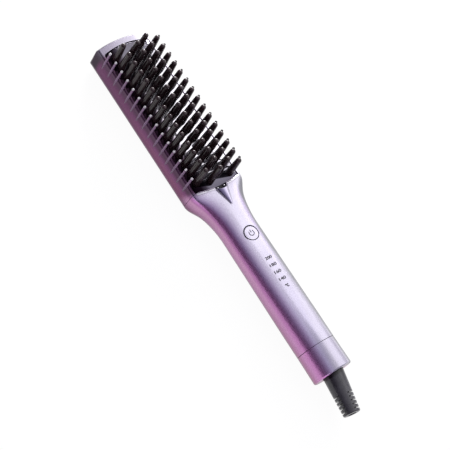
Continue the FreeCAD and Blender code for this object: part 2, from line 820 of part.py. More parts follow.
# Heated plate: an aluminium slab with a hole for every tooth's peg and threads for its screws
def heatedPlate(screwSpots):
    plan = archedPlan(plateStart, plateEnd, plateHalf, at.plateCorner, at.windowArch, at.neckArch)
    slab = archedSlab("plate_slab", plan, plateBottom, at.plateThick)
    bosses = [rod(f"clamp_boss_{side}", plateMid + side * clampSpan, 0, micaBottom, at.clampBoss,
                  plateBottom - micaBottom + at.plateThick / 2) for side in (-1, 1)]
    solid = joined("plate_solid", [slab] + bosses)
    holes = []
    for label, (across, start, rise) in toothColumns.items():
        for row in range(toothRows):
            holes.append(rod(f"{label}_hole", start + toothPitch * row, across, plateBottom - at.runFit,
                             at.pegRadius + at.runFit, at.plateThick + at.overrun))
    for x, y in screwSpots:
        holes.append(rod("plate_thread", x, y, plateBottom - at.overrun, at.smallShank + at.runFit,
                         at.plateScrewGrip + at.runFit + at.overrun))
    for side in (-1, 1):
        holes.append(rod("clamp_thread", plateMid + side * clampSpan, 0, micaBottom - at.overrun,
                         at.smallShank + at.runFit,
                         plateBottom - micaBottom + at.plateScrewGrip + at.overrun))
    keep(less("heating_plate", solid, holes))


# Heater, mica sheet and the clamp that presses them to the plate
def heaterStack():
    start = plateMid - heaterLength / 2
    keep(block("heater_element", start, 0, heaterBottom, heaterLength, heaterWidth, at.heaterThick))
    keep(block("mica_sheet", start - at.micaMargin, 0, micaBottom, heaterLength + 2 * at.micaMargin,
               heaterWidth + 2 * at.micaMargin, at.micaThick))
    bar = block("clamp_bar", plateMid - clampLength / 2, 0, clampBottom, clampLength, clampWidth,
                at.clampThick)
    spots = [plateMid + side * clampSpan for side in (-1, 1)]
    holes = [rod("clamp_hole", x, 0, clampBottom - at.overrun, at.smallShank + at.closeFit, 2 * at.overrun)
             for x in spots]
    keep(less("heater_clamp", bar, holes))
    length = plateBottom - clampBottom + at.plateScrewGrip - at.runFit
    keep(grouped("clamp_screws", [screw("clamp_screw", x, 0, clampBottom, at.smallShank, at.smallHead,
                                        at.smallHeadThick, length) for x in spots]))
    beside = heaterWidth / 2 + at.clampMargin + at.sensorWidth / 2 + at.slipFit
    keep(block("thermistor", plateMid + heaterLength * sensorPlaceShare, beside, plateBottom - at.sensorThick,
               at.sensorLength, at.sensorWidth, at.sensorThick))
    beside = heaterWidth / 2 + at.clampMargin + at.fuseRadius + at.slipFit
    keep(rod("thermal_fuse", plateMid + heaterLength * fusePlaceShare, -beside,
             plateBottom - at.fuseRadius - at.runFit, at.fuseRadius, at.fuseLength, "X"))
    leadStart = plateMid + heaterLength / 2
    leadLength = boardStart + at.boardPostInset / 2 - leadStart
    keep(grouped("heater_leads", [rod("heater_lead", leadStart, side * at.leadSpread, leadLevel,
                                      at.leadRadius, leadLength, "X") for side in (-1, 1)]))


# Control board with its switch, lamps, light guide, ion generator and power parts
def controlBoard():
    slab = block("board_slab", boardStart, 0, boardBottom, boardLength, 2 * at.boardHalf, at.boardThick)
    holes = [rod("board_hole", x, y, boardBottom - at.overrun, at.smallShank + at.closeFit, 2 * at.overrun)
             for x, y in boardSpots]
    keep(less("control_board", slab, holes))
    length = at.boardScrewLength + at.boardThick - at.closeFit
    keep(grouped("board_screws", [screw("board_screw", x, y, boardTop, at.smallShank, at.smallHead,
                                        at.smallHeadThick, length, False) for x, y in boardSpots]))
    case = block("switch_case", buttonPlace - at.switchSide / 2, 0, boardTop, at.switchSide, at.switchSide,
                 at.switchRise)
    well = rod("switch_well", buttonPlace, 0, boardTop + at.switchRise - at.wellDepth,
               at.plungerRadius + at.runFit, at.wellDepth + at.overrun)
    keep(less("power_switch", case, [well]))
    keep(rod("switch_plunger", buttonPlace, 0, boardTop + at.switchRise - at.plungerDepth, at.plungerRadius,
             at.plungerDepth + at.plungerRise))
    marks = [firstMark + markPitch * index for index in range(markCount)]
    ledLength = markPitch * ledShare
    keep(grouped("indicator_leds", [block("indicator_led", x - ledLength / 2, 0, boardTop, ledLength,
                                          at.ledWidth, at.ledThick) for x in marks]))
    guide = block("guide_block", firstMark - markPitch / 2, 0, boardTop, markPitch * markCount,
                  2 * at.guideHalf, at.guideRise)
    cells = [block("guide_cell", x - (markPitch - at.guideWall) / 2, 0, boardTop - at.overrun,
                   markPitch - at.guideWall, 2 * (at.guideHalf - at.guideWall), tall) for x in marks]
    keep(less("light_guide", guide, cells))
    keep(block("ion_generator", ionBoxPlace, 0, boardBottom - at.ionBoxDeep, ionBoxLength,
               2 * at.ionBoxHalf, at.ionBoxDeep))
    capacitorStart = ionBoxPlace + ionBoxLength + partsGap
    capacitor = block("capacitor", capacitorStart, 0, boardBottom - at.capacitorDeep, capacitorLength,
                      2 * at.capacitorHalf, at.capacitorDeep)
    coilPlace = capacitorStart + capacitorLength + partsGap + coilRadius
    coil = rod("choke", coilPlace, 0, boardBottom - at.coilDeep, coilRadius, at.coilDeep)
    keep(grouped("power_parts", [capacitor, coil]))
    leadStart = boardEnd - at.boardPostInset / 2
    leadLength = swivelStart - leadStart
    keep(grouped("mains_leads", [rod("mains_lead", leadStart, side * at.mainsSpread, leadLevel,
                                     at.leadRadius, leadLength, "X") for side in (-1, 1)]))


# Button flush with the shell, and the dark ring round it
def powerButton():
    cap = rod("button_cap", buttonPlace, 0, buttonLevel - at.buttonThick, at.buttonRadius, tall)
    flush = common("button_flush", [cap, handleOuter])
    stem = rod("button_stem", buttonPlace, 0, stemEnd, at.stemRadius, buttonLevel - at.buttonThick - stemEnd)
    keep(joined("power_button", [flush, stem]))
    lowered = doc.addObject("Part::Compound", "ring_limit")
    lowered.Links = [handleOuter]
    place(lowered, -headEnd, 0, -at.ringSink)
    flangeLevel = buttonLevel - at.ringFlangeDrop - at.ringFlangeThick
    outer = at.buttonRadius + at.closeFit + at.ringWall
    wallTube = rod("ring_wall", buttonPlace, 0, flangeLevel, outer, tall)
    wallCut = common("ring_tube", [wallTube, lowered])
    flange = rod("ring_flange", buttonPlace, 0, flangeLevel, at.ringFlange, at.ringFlangeThick)
    bore = rod("ring_room", buttonPlace, 0, flangeLevel + at.ringFlangeThick,
               at.buttonRadius + at.closeFit, tall)
    hole = rod("ring_hole", buttonPlace, 0, flangeLevel - at.overrun, at.ringBore, tall)
    keep(less("button_ring", joined("ring_solid", [wallCut, flange]), [bore, hole]))


# Ion outlet: a dark insert, half an oval, in the neck's front edge, with two emitter needles on a bar
def ionOutlet():
    bottom = plateBottom - at.outletDeep + at.shellWall
    plug = oval("outlet_plug", Term("0", 0), bottom, tall)
    limit = doc.addObject("Part::Compound", "outlet_limit")
    limit.Links = [handleOuter]
    place(limit, -headEnd, 0, -at.outletSink)
    spots = [side * at.emitterSpread for side in (-1, 1)]
    holes = [rod("emitter_hole", emitterPlace, y, bottom - at.overrun, at.emitterRadius + at.closeFit, tall)
             for y in spots]
    keep(less("ion_outlet", common("outlet_body", [plug, limit]), holes + [frontRoom]))
    barLevel = bottom - at.emitterBarThick
    bar = block("emitter_bar", emitterPlace - at.emitterBarLength / 2, 0, barLevel, at.emitterBarLength,
                2 * at.emitterBarHalf, at.emitterBarThick)
    needle = ridgeLevel - at.outletSink + at.emitterProud - barLevel
    needles = [rod("emitter", emitterPlace, y, barLevel, at.emitterRadius, needle) for y in spots]
    keep(joined("ion_emitters", [bar] + needles))
    leadStart = emitterPlace + at.emitterBarLength / 2
    beside = (at.coverBoss + at.boardPostSide - at.boardPost) / 2
    keep(rod("ion_lead", leadStart, beside, barLevel + at.emitterBarThick / 2, at.ionLeadRadius,
             ionBoxPlace - leadStart, "X"))


# End cap: a round end with a spigot in the handle and a shoulder that traps the swivel's flange
spigotRadius = at.gripRise - at.shellWall - at.slipFit
capBore = at.tailRadius - at.capWall
flangeEnd = at.bodyLength - at.capEndWall
flangeStart = flangeEnd - at.flangeThick
swivelStart = seam - at.spigotLength
swivelEnd = flangeStart - at.slipFit


def endCap():
    corners = [(seam - at.spigotLength, capBore), (flangeEnd + at.slipFit, capBore),
               (flangeEnd + at.slipFit, at.mouthRadius), (at.bodyLength, at.mouthRadius),
               (at.bodyLength, at.tailRadius - at.capRound), (at.bodyLength - at.capRound, at.tailRadius),
               (seam + at.seamGap, at.seamRadius), (seam + at.seamGap, spigotRadius),
               (seam - at.spigotLength, spigotRadius)]
    keep(turned("end_cap", corners))


# Swivel: a spindle with two contact rings, turning in a split housing
ringPlaces = [swivelStart + at.bearingLength + at.ringLength / 2 + at.ringPitch * index for index in (0, 1)]


def swivel():
    corners = [(swivelStart, at.cordBore), (bootStart, at.cordBore), (bootStart, at.collarRadius),
               (flangeEnd, at.collarRadius), (flangeEnd, at.flangeRadius), (flangeStart, at.flangeRadius),
               (flangeStart, at.spindleRadius), (swivelStart, at.spindleRadius)]
    keep(turned("swivel_spindle", corners))
    rings = []
    for start in ringPlaces:
        outer = rod("ring_outer", start, 0, axisLevel, at.spindleRadius + at.ringThick, at.ringLength, "X")
        inner = rod("ring_inner", start - at.overrun, 0, axisLevel, at.spindleRadius + at.runFit,
                    at.ringLength + 2 * at.overrun, "X")
        rings.append(less("ring_cut", outer, [inner]))
    keep(grouped("contact_rings", rings))
    length = swivelEnd - swivelStart
    outer = rod("housing_outer", swivelStart, 0, axisLevel, capBore - at.slipFit, length, "X")
    bearing = rod("housing_bearing", swivelStart - at.overrun, 0, axisLevel, at.spindleRadius + at.runFit,
                  length + 2 * at.overrun, "X")
    chamber = rod("housing_chamber", swivelStart + at.bearingLength, 0, axisLevel, at.chamberRadius,
                  length - 2 * at.bearingLength, "X")
    brushLevel = axisLevel + at.spindleRadius + at.ringThick + at.slipFit
    brushes = []
    slots = []
    for start in ringPlaces:
        x = start + at.ringLength / 2
        brushes.append(block("brush", x - at.brushLength / 2, 0, brushLevel, at.brushLength, 2 * at.brushHalf,
                             at.brushRise))
        slots.append(block("brush_slot", x - at.brushLength / 2 - at.closeFit, 0, brushLevel - at.overrun / 2,
                           at.brushLength + 2 * at.closeFit, 2 * (at.brushHalf + at.closeFit), tall))
    for label, level, extra in (("swivel_housing_upper", axisLevel, slots),
                                ("swivel_housing_lower", axisLevel - tall, [])):
        part = block(label + "_half", swivelStart, 0, level, length, fullWidth, tall)
        keep(less(label, common(label + "_blank", [outer, part]), [bearing, chamber] + extra))
    keep(grouped("contact_brushes", brushes))


# Strain relief: a tapered boot that leans to one side at rest, with slots in both sides near its end
def strainRelief():
    root = float(at.bootRoot)
    tip = float(at.bootEnd)
    length = float(at.bootLength)
    back = float(at.overrun)
    bore = float(at.cordBore)
    corner = float(at.bootRound)
    slot = float(at.slotWidth)
    along = Vector(1, 0, 0)
    taper = (root - tip) / length
    cone = Part.makeCone(root + taper * back, tip, length + back, Vector(-back, 0, 0), along)
    rim = [edge for edge in cone.Edges if abs(edge.CenterOfMass.x - length) < corner / 2 and edge.Closed]
    cone = cone.makeFillet(corner, rim)
    hole = Part.makeCylinder(bore, length + 4 * back, Vector(-2 * back, 0, 0), along)
    cuts = [hole]
    for index in range(slotRings):
        x = length - float(at.slotInset) - float(at.slotPitch) * index
        radius = root - taper * x - float(at.slotDeep)
        for half in (0, 180):
            sector = Part.makeCylinder(root + back, slot, Vector(x, 0, 0), along, slotAngle)
            sector = sector.cut(Part.makeCylinder(radius, slot, Vector(x, 0, 0), along))
            sector.rotate(Vector(0, 0, 0), along, half + slotTurn - slotAngle / 2)
            cuts.append(sector)
    boot = cone.cut(cuts)
    boot.rotate(Vector(0, 0, 0), Vector(0, 0, 1), -bootTilt)
    reach = 2 * (root + back)
    room = Part.makeBox(reach, 2 * reach, 2 * reach, Vector(-reach, -reach, -reach))
    boot = boot.cut(room)
    keep(formed("strain_relief", moved(boot, bootStart, 0, axisLevel)))


headFrame()
handleShell()
backCover()
screwSpots = plateCarrier()
heatedPlate(screwSpots)
teeth()
sideTeeth()
heaterStack()
controlBoard()
powerButton()
ionOutlet()
endCap()
swivel()
strainRelief()
doc.recompute()

# Every object has to be sound before anything is written
for item in doc.Objects:
    if "Invalid" in item.State or "Error" in item.State:
        raise RuntimeError(f"{item.Label} failed: {item.State}")
for item in nodes:
    if item.Shape.isNull() or not item.Shape.isValid():
        raise RuntimeError(f"{item.Label} has no sound shape")

os.makedirs("parts", exist_ok=True)
for item in nodes:
    item.Shape.exportStep(f"parts/{item.Label}.step")
    print(item.Label, len(item.Shape.Solids), round(item.Shape.Volume, 1))
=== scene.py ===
# Looks of the hot straightening brush: pearl shell, silver plate, dark teeth, printed marks and a rubber cord boot.
# Everything is in the CAD frame, in metres; sizes in the dictionaries are in millimetres and go through mm.
import json
import math

import bmesh
import bpy
import numpy as np
from mathutils import Matrix, Vector
from mathutils.bvhtree import BVHTree


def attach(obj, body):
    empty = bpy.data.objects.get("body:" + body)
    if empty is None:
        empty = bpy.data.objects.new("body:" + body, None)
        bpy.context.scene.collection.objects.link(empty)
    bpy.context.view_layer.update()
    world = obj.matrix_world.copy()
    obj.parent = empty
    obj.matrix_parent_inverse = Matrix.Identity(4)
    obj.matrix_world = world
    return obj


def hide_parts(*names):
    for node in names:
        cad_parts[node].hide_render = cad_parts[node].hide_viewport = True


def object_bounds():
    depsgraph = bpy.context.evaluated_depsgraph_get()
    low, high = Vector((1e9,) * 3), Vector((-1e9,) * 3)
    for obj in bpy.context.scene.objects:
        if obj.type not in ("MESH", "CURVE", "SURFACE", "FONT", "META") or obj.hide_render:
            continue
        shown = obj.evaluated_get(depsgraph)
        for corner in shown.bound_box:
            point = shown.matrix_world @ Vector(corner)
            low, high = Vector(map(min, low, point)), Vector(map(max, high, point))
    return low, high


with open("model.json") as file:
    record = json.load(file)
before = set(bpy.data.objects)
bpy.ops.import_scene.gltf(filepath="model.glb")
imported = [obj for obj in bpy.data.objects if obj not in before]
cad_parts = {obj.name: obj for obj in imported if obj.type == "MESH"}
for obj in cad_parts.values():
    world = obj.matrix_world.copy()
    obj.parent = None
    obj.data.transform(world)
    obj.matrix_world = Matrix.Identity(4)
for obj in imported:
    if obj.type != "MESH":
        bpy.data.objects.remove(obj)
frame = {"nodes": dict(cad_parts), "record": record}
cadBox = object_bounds()
nodes = frame["nodes"]
mm = 0.001
headEnd = cadBox[0].x / mm  # the head's end, from which all places along the brush are counted
print("frame loaded:", len(nodes), "nodes")


# A piece from points and faces: the winding is turned outward by the sign of the enclosed volume
# (a sixth of the sum of a . (b x c) over the triangles), then shaded smooth except at edges past sharpAngle
def makePiece(name, points, faces, body, slot, finish, sharpAngle=38):
    mesh = bpy.data.meshes.new(name)
    corners = np.array([f[:3] for f in faces])
    tails = np.array([(f[0], f[2], f[-1]) for f in faces])
    triangles = points[np.concatenate([corners, tails])]
    volume = np.einsum("ij,ij->i", triangles[:, 0], np.cross(triangles[:, 1], triangles[:, 2])).sum()
    turned = [tuple(reversed(f)) for f in faces] if volume < 0 else faces
    mesh.from_pydata((points * mm).tolist(), [], turned)
    mesh.validate()
    mesh.shade_smooth()
    mesh.set_sharp_from_angle(angle=math.radians(sharpAngle))
    piece = bpy.data.objects.new(name, mesh)
    bpy.context.scene.collection.objects.link(piece)
    mesh.materials.append(finishes[finish])
    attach(piece, body)
    return piece


# Faces of a grid of rows x columns points, quads between neighbours; each row closes on itself,
# and the first and last rows close on a pole point that follows the grid
def tubeFaces(rows, columns, start):
    at = start + np.arange(rows * columns).reshape(rows, columns)
    beside = np.roll(at, -1, axis=1)
    quads = np.stack([at[:-1], beside[:-1], beside[1:], at[1:]], axis=-1).reshape(-1, 4).tolist()
    firstPole = start + rows * columns
    fans = np.stack([beside[0], at[0], np.full(columns, firstPole)], axis=-1).tolist()
    fans += np.stack([at[-1], beside[-1], np.full(columns, firstPole + 1)], axis=-1).tolist()
    return [tuple(f) for f in quads + fans]


# Points of a closed tube: the rings, then a pole at the middle of the first ring and of the last
def tubePoints(rings):
    poles = np.stack([rings[0].mean(axis=0), rings[-1].mean(axis=0)])
    return np.concatenate([rings.reshape(-1, 3), poles])


# Several tubes of the same grid in one piece: ringSets is tubes x rows x columns x 3
def makeTubes(name, ringSets, *look):
    points = np.concatenate([tubePoints(rings) for rings in ringSets])
    rows, columns = ringSets.shape[1:3]
    step = rows * columns + 2
    faces = [f for k in range(len(ringSets)) for f in tubeFaces(rows, columns, k * step)]
    return makePiece(name, points, faces, *look)


# A hoop from its rings, which follow one another round a closed path: the grid closes both ways
def makeHoop(name, rings, *look):
    rows, columns = rings.shape[:2]
    at = np.arange(rows * columns).reshape(rows, columns)
    beside, after = np.roll(at, -1, axis=1), np.roll(at, -1, axis=0)
    quads = np.stack([at, beside, np.roll(after, -1, axis=1), after], axis=-1).reshape(-1, 4).tolist()
    return makePiece(name, rings.reshape(-1, 3), [tuple(f) for f in quads], *look)


# Angles of an even turn of the circle
def fullTurn(sides):
    return np.linspace(0, 2 * math.pi, sides, endpoint=False)


# Rings of a lathe about +Z: radius and height profiles against an even turn of the circle
def lathe(radius, height, sides):
    turn = fullTurn(sides)
    return np.stack([np.outer(radius, np.cos(turn)), np.outer(radius, np.sin(turn)),
                     np.outer(height, np.ones(sides))], axis=-1)


# Copies of a lathe's rings: each is the rings plus its own place along and across the brush
def copiesAt(rings, along, across):
    spots = np.stack([headEnd + along, across, np.zeros(len(along))], axis=-1)
    return rings[None] + spots[:, None, None, :]


# Directions of a path, the differences of its points brought to length one
def waysOf(path):
    way = np.gradient(path, axis=0)
    return way / np.linalg.norm(way, axis=1, keepdims=True)


# The Principled shader of a material
def shaderOf(material):
    return next(n for n in material.node_tree.nodes if n.type == "BSDF_PRINCIPLED")


# A new material with its node tree and Principled shader, and the fixed values set on the shader's sockets
def newFinish(name, **sockets):
    material = bpy.data.materials.new(name)
    material.use_nodes = True
    shader = shaderOf(material)
    for socket, value in sockets.items():
        shader.inputs[socket.replace("_", " ")].default_value = value
    return material, material.node_tree, shader


# A node with its settings; inputs are numbers or other nodes' sockets
def addNode(tree, kind, inputs=None, **settings):
    node = tree.nodes.new(kind)
    for key, value in settings.items():
        setattr(node, key, value)
    for socket, value in (inputs or {}).items():
        if isinstance(value, bpy.types.NodeSocket):
            tree.links.new(value, node.inputs[socket])
        else:
            node.inputs[socket].default_value = value
    return node


# Place on the piece, as the object's own coordinates
def addPlace(tree):
    return addNode(tree, "ShaderNodeTexCoord").outputs["Object"]


# A colour written as rrggbb in sRGB, as linear rgba
def colour(code):
    channel = np.array([int(code[k:k + 2], 16) for k in (0, 2, 4)]) / 255
    linear = np.where(channel <= 0.04045, channel / 12.92, ((channel + 0.055) / 1.055) ** 2.4)
    return (*linear.tolist(), 1.0)


# A colour ramp fed by a socket: stops are (place, colour code)
def addRamp(tree, factor, stops):
    ramp = addNode(tree, "ShaderNodeValToRGB", {"Fac": factor})
    elements = ramp.color_ramp.elements
    while len(elements) < len(stops):
        elements.new(0.5)
    for element, (place, code) in zip(elements, stops):
        element.position = place
        element.color = colour(code)
    return ramp.outputs["Color"]


# A value moved from one range to another
def addRange(tree, value, fromLow, fromHigh, toLow=0.0, toHigh=1.0, ease="LINEAR"):
    moved = addNode(tree, "ShaderNodeMapRange", {"Value": value, "From Min": fromLow, "From Max": fromHigh,
                                                 "To Min": toLow, "To Max": toHigh}, interpolation_type=ease)
    return moved.outputs["Result"]


# A noise, with its scale the inverse of the grain's size in millimetres
def addNoise(tree, place, size, detail):
    noise = addNode(tree, "ShaderNodeTexNoise", {"Vector": place, "Scale": 1 / (size * mm), "Detail": detail})
    return noise.outputs["Fac"]


# A colour or direction worked on by one step of vector arithmetic
def addVector(tree, step, first, second):
    inputs = {0: first, ("Scale" if step == "SCALE" else 1): second}
    return addNode(tree, "ShaderNodeVectorMath", inputs, operation=step)


# Bump from a height, with its strength and depth in millimetres
def addBump(tree, shader, height, strength, depth):
    bump = addNode(tree, "ShaderNodeBump", {"Height": height, "Strength": strength, "Distance": depth * mm})
    tree.links.new(bump.outputs["Normal"], shader.inputs["Normal"])


# Two colours mixed by a share; the mix node's sockets for colours are 6, 7 and, going out, 2
def addMix(tree, share, first, second):
    return addNode(tree, "ShaderNodeMix", {0: share, 6: first, 7: second}, data_type="RGBA").outputs[2]


# Smooth share of the way from one place to another along a direction; places count from the head's end
def addPassing(tree, position, direction, reach):
    along = addVector(tree, "DOT_PRODUCT", position, direction).outputs["Value"]
    low, high = [(headEnd * direction[0] + place) * mm for place in reach]
    return addRange(tree, along, low, high, ease="SMOOTHSTEP")


# Pearl lacquer whose tint is painted shade and painted highlight over a lilac and pink pearl: it runs with height, as a
# share of the handle's own section, and with the side: dark plum painted shade on the head's walls and end, pink-mauve
# low on the handle's flanks under a pale lilac lit top, greyer shade on the far flank and a pale painted reflection
# along the head's far rim. Each zone is mixed over the one before along a direction, from one place to another
pearl = {"metallic": 0.75, "roughness": 0.30, "coat": 0.05, "coatRoughness": 0.16,
         "waist": (172.9, 3.2, 27.8), "grip": (253.0, 1.1, 29.9),  # place along, lowest and highest point there
         # Ramps from the section's bottom (0) to its top (1), each the painted shade and highlight of one zone: the
         # head's end near and far, the head's walls, a pale painted reflection along the far rim, the handle's flanks
         # and lit top, and greyer shade on its far flank
         "end": [(0.0, "2c142a"), (0.62, "2e1830"), (0.82, "43364a"), (0.90, "77707f"), (1.0, "7d7687")],
         "endFar": [(0.0, "4f2648"), (0.55, "6b4a68"), (0.80, "a09ba9"), (1.0, "b2aebb")],
         "head": [(0.0, "4a2244"), (0.40, "6a3560"), (0.55, "642c5a"), (0.75, "4c2448"), (0.91, "563a52"),
                  (1.0, "8a7089")],
         "rimFar": [(0.0, "4a2244"), (0.55, "642c5a"), (0.76, "7a5a78"), (0.84, "e4e0ea"), (1.0, "eeebf2")],
         "hip": [(0.0, "5c2f52"), (0.40, "84486f"), (0.55, "7a4070"), (0.72, "4a2044"), (0.91, "523450"),
                 (1.0, "8e7690")],
         "handle": [(0.22, "7e5272"), (0.46, "bd8bb2"), (0.60, "cc98bf"), (0.70, "b97ab2"), (0.80, "d28cd0"),
                    (0.87, "c5abd7"), (0.97, "dfd7ec"), (1.0, "c4bfcf")],
         "tail": [(0.22, "764560"), (0.46, "b87ea8"), (0.58, "cc94c4"), (0.74, "d892d0"), (0.80, "e698e2"),
                  (0.86, "d09ed6"), (0.96, "c8bdde"), (1.0, "b4aec5")],
         "far": [(0.0, "a2648f"), (0.60, "b884b0"), (0.78, "77737c"), (0.86, "7d7c83"), (0.92, "a2a1a8"),
                 (0.96, "cfcbd8"), (1.0, "beb9c9")],
         "headPaintedZones": [("endFar", (0, 1, 0), (-22.0, 16.0)), ("head", (1, 0, 0), (8.5, 13.0)),
                       ("hip", (1, 0, 0), (30.0, 110.0)), ("rimFar", (0, 1, 0), (8.0, 20.0))],
         "handlePaintedZones": [("tail", (1, 0, 0), (185.0, 300.0)), ("far", (0.12, 1, 0), (27.6, 31.6))],
         "neckStep": ((1, 0, -0.43), (122.0, 129.0)),
         "flakeSize": 0.22, "flakeLift": (0.91, 1.09), "flakeBump": 0.05, "flakeDepth": 0.05,
         "flakePolish": (-0.04, 0.06), "cloudSize": 1000 / 45, "cloudDetail": 3.0, "cloudReach": (0.3, 0.7),
         "cloudLift": (0.96, 1.04)}


# Painted shade and highlight of one zone after another, mixed in their order
def addShadeZones(tree, position, share, first, zones):
    tint = addRamp(tree, share, pearl[first])
    for zone, direction, reach in zones:
        tint = addMix(tree, addPassing(tree, position, direction, reach), tint, addRamp(tree, share, pearl[zone]))
    return tint


# The lacquer's share of height lies between two lines, through the lowest and the highest points of waist and grip.
# Fine flakes lighten single cells of a small Voronoi pattern, and a slow noise clouds the coat
def pearlLacquerWithPaintedShade(name):
    material, tree, shader = newFinish(name, Metallic=pearl["metallic"], Coat_Weight=pearl["coat"],
                                       Coat_Roughness=pearl["coatRoughness"])
    place = addPlace(tree)
    split = addNode(tree, "ShaderNodeSeparateXYZ", {"Vector": place})
    stations = [(headEnd + pearl[key][0]) * mm for key in ("waist", "grip")]
    low, high = [addRange(tree, split.outputs["X"], *stations, pearl["waist"][k] * mm, pearl["grip"][k] * mm)
                 for k in (1, 2)]
    share = addRange(tree, split.outputs["Z"], low, high)
    # The head's and the handle's painted shade and highlights, joined along a slanted line at the neck
    paintedHeadShade = addShadeZones(tree, place, share, "end", pearl["headPaintedZones"])
    paintedHandleShade = addShadeZones(tree, place, share, "handle", pearl["handlePaintedZones"])
    tint = addMix(tree, addPassing(tree, place, *pearl["neckStep"]), paintedHeadShade, paintedHandleShade)
    flakes = addNode(tree, "ShaderNodeTexVoronoi", {"Vector": place, "Scale": 1 / (pearl["flakeSize"] * mm)})
    spark = addNode(tree, "ShaderNodeSeparateColor", {"Color": flakes.outputs["Color"]}).outputs["Red"]
    clouds = addNoise(tree, place, pearl["cloudSize"], pearl["cloudDetail"])
    for lift in (addRange(tree, spark, 0.0, 1.0, *pearl["flakeLift"]),
                 addRange(tree, clouds, *pearl["cloudReach"], *pearl["cloudLift"])):
        tint = addVector(tree, "SCALE", tint, lift).outputs["Vector"]
    tree.links.new(tint, shader.inputs["Base Color"])
    polish = addRange(tree, spark, 0.0, 1.0, *[pearl["roughness"] + change for change in pearl["flakePolish"]])
    tree.links.new(polish, shader.inputs["Roughness"])
    addBump(tree, shader, spark, pearl["flakeBump"], pearl["flakeDepth"])
    return material


# What plain finishes share: the part of a noise's range that tint and roughness use, and the sizes of their noises
grainReach = (0.3, 0.7)
mottle = {"size": 1000 / 220, "detail": 4.0, "grainDetail": 2.0, "grainDepth": 0.1}
drawn = {"detail": 3.0, "depth": 0.05}


# Tint and roughness from one noise: two close colours, and the roughness less or more a spread
def addGrain(tree, shader, noise, dark, light, roughness, spread):
    low, high = grainReach
    tree.links.new(addRamp(tree, noise, [(low, dark), (high, light)]), shader.inputs["Base Color"])
    polish = addRange(tree, noise, low, high, roughness - spread, roughness + spread)
    tree.links.new(polish, shader.inputs["Roughness"])


# Moulded plastic, rubber or ceramic: tint and roughness follow a slow noise, and a fine grain is bump
def moulded(name, dark, light, roughness, grain, bump, spread=0.08, **sockets):
    material, tree, shader = newFinish(name, **sockets)
    place = addPlace(tree)
    addGrain(tree, shader, addNoise(tree, place, mottle["size"], mottle["detail"]), dark, light, roughness, spread)
    addBump(tree, shader, addNoise(tree, place, grain, mottle["grainDetail"]), bump, mottle["grainDepth"])
    return material


# Metal with fine lines along X: a noise stretched along the brush drives tint, roughness and bump
def linedMetal(name, dark, light, roughness, line, bump, stretch=6.0, spread=0.05):
    material, tree, shader = newFinish(name, Metallic=1.0)
    squeezed = addNode(tree, "ShaderNodeMapping", {"Vector": addPlace(tree), "Scale": (1 / stretch, 1.0, 1.0)})
    lines = addNoise(tree, squeezed.outputs["Vector"], line, drawn["detail"])
    addGrain(tree, shader, lines, dark, light, roughness, spread)
    addBump(tree, shader, lines, bump, drawn["depth"])
    return material


# Painted light laid over a finish: the base colour is multiplied by a ramp along one axis of the object, painting
# shade, reflection or a highlight
def paintLightAlong(material, axis, low, high, stops):
    tree, shader = material.node_tree, shaderOf(material)
    under = shader.inputs["Base Color"].links[0].from_socket
    run = addNode(tree, "ShaderNodeSeparateXYZ", {"Vector": addPlace(tree)}).outputs[axis]
    tint = addRamp(tree, addRange(tree, run, low * mm, high * mm), stops)
    tree.links.new(addVector(tree, "MULTIPLY", under, tint).outputs["Vector"], shader.inputs["Base Color"])
    return material


# Coated plate over fine drawn lines: a silver tint with a painted reflection, bright along the middle and greying
# towards both ends, and painted shade that darkens it to the near edge
silver = {"roughness": 0.05, "line": 0.12, "bump": 0.01, "stretch": 40.0, "spread": 0.015, "reach": (6.0, 138.0),
          "paintedLight": [(0.0, "8b8791"), (0.07, "9a96a0"), (0.14, "e6e3ea"), (0.86, "e6e3ea"), (0.95, "64606c"),
                    (1.0, "55515d")],
          "across": (-20.3, -6.0),
          "paintedShade": [(0.0, "1c101a"), (0.5, "352632"), (0.75, "8a808a"), (1.0, "ffffff")]}


def silverPlate(name):
    metal = linedMetal(name, "e6e6e6", "ffffff", silver["roughness"], silver["line"], silver["bump"],
                       silver["stretch"], silver["spread"])
    paintLightAlong(metal, "X", *[headEnd + place for place in silver["reach"]], silver["paintedLight"])
    return paintLightAlong(metal, "Y", *silver["across"], silver["paintedShade"])


# Rubber of the boot, with painted shade that darkens it where it leaves the cap's mouth
boot = {"reach": (295.4, 298.4), "paintedLight": [(0.0, "1a1418"), (0.5, "40383e"), (1.0, "ffffff")]}


def bootRubber(name):
    rubber = moulded(name, "3a393e", "4c4b51", roughness=0.28, grain=0.12, bump=0.08, spread=0.05,
                     Specular_IOR_Level=0.6)
    return paintLightAlong(rubber, "X", *[headEnd + place for place in boot["reach"]], boot["paintedLight"])


# Lacquer of the slim side teeth: plum, lighter upwards, with a painted white highlight on the near row's balls; the far
# row is painted dark as shade, with a thin painted highlight band on its ball
pinPaintedLight = {"near": [(0.0, "6a4466"), (0.45, "86628a"), (0.92, "9a7a9c"), (0.95, "ffffff"), (1.0, "ffffff")],
            "far": [(0.0, "6a4466"), (0.45, "3a2a3a"), (0.90, "2a2028"), (0.93, "c8c2ca"), (0.955, "241c22"),
                    (1.0, "1c151a")],
            "reach": (15.5, 36.8)}


def pinLacquerPaintedLight(name, row):
    lacquer = moulded(name, "e8e4e8", "fbf8fb", roughness=0.26, grain=0.22, bump=0.03, spread=0.05, Metallic=0.3)
    return paintLightAlong(lacquer, "Z", *pinPaintedLight["reach"], pinPaintedLight[row])


# Painted shade on the hood's flank: the tint follows the skin's own share, dark at the foot and paling to the ridge
flankShadeLook = {"metallic": 0.75, "roughness": 0.3, "share": "flankShare",
             "paintedLight": [(0.0, "5d5674"), (0.45, "8a83a2"), (0.8, "b9b2cc"), (1.0, "dfd7ec")]}


